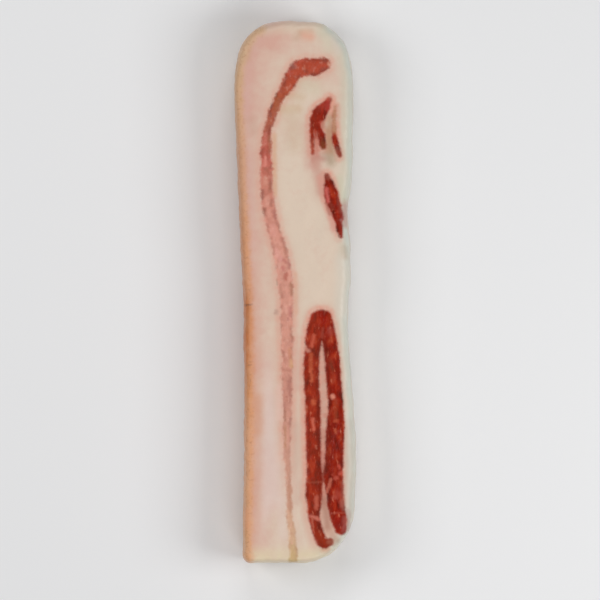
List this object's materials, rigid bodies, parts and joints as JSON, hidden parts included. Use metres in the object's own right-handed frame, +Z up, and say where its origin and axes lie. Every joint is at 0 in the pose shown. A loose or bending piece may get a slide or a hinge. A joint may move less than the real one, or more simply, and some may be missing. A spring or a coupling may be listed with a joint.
{
  "type": "piece of pancetta",
  "caption": "Long thick slice cut across a cured pork belly: pale fat with a tan rind edge, and muscles of dark red and salmon lean that run through it from cut face to cut face.",
  "frame": {"origin": "on the lower cut face, under the middle of the piece", "axes": "+X from the rind side to the inner side of the belly, +Y from the trimmed end to the rounded end, +Z up through the thickness of the slice"},
  "size_m": [0.0562, 0.2501, 0.0277],
  "materials": {
    "fat": "moist satin cured fat, with an orange-tan rind along one long side",
    "lean": "moist satin dark red cured lean, finely fibrous",
    "pale_lean": "moist satin salmon cured lean that pales towards the trimmed end"
  },
  "bodies": {
    "root": {"fat": "fat", "fat_seam": "fat", "lean_streak": "pale_lean", "lean_loop": "lean", "lean_patch_upper": "lean", "lean_patch_lower": "lean", "lean_sliver": "lean"}
  },
  "joints": []
}
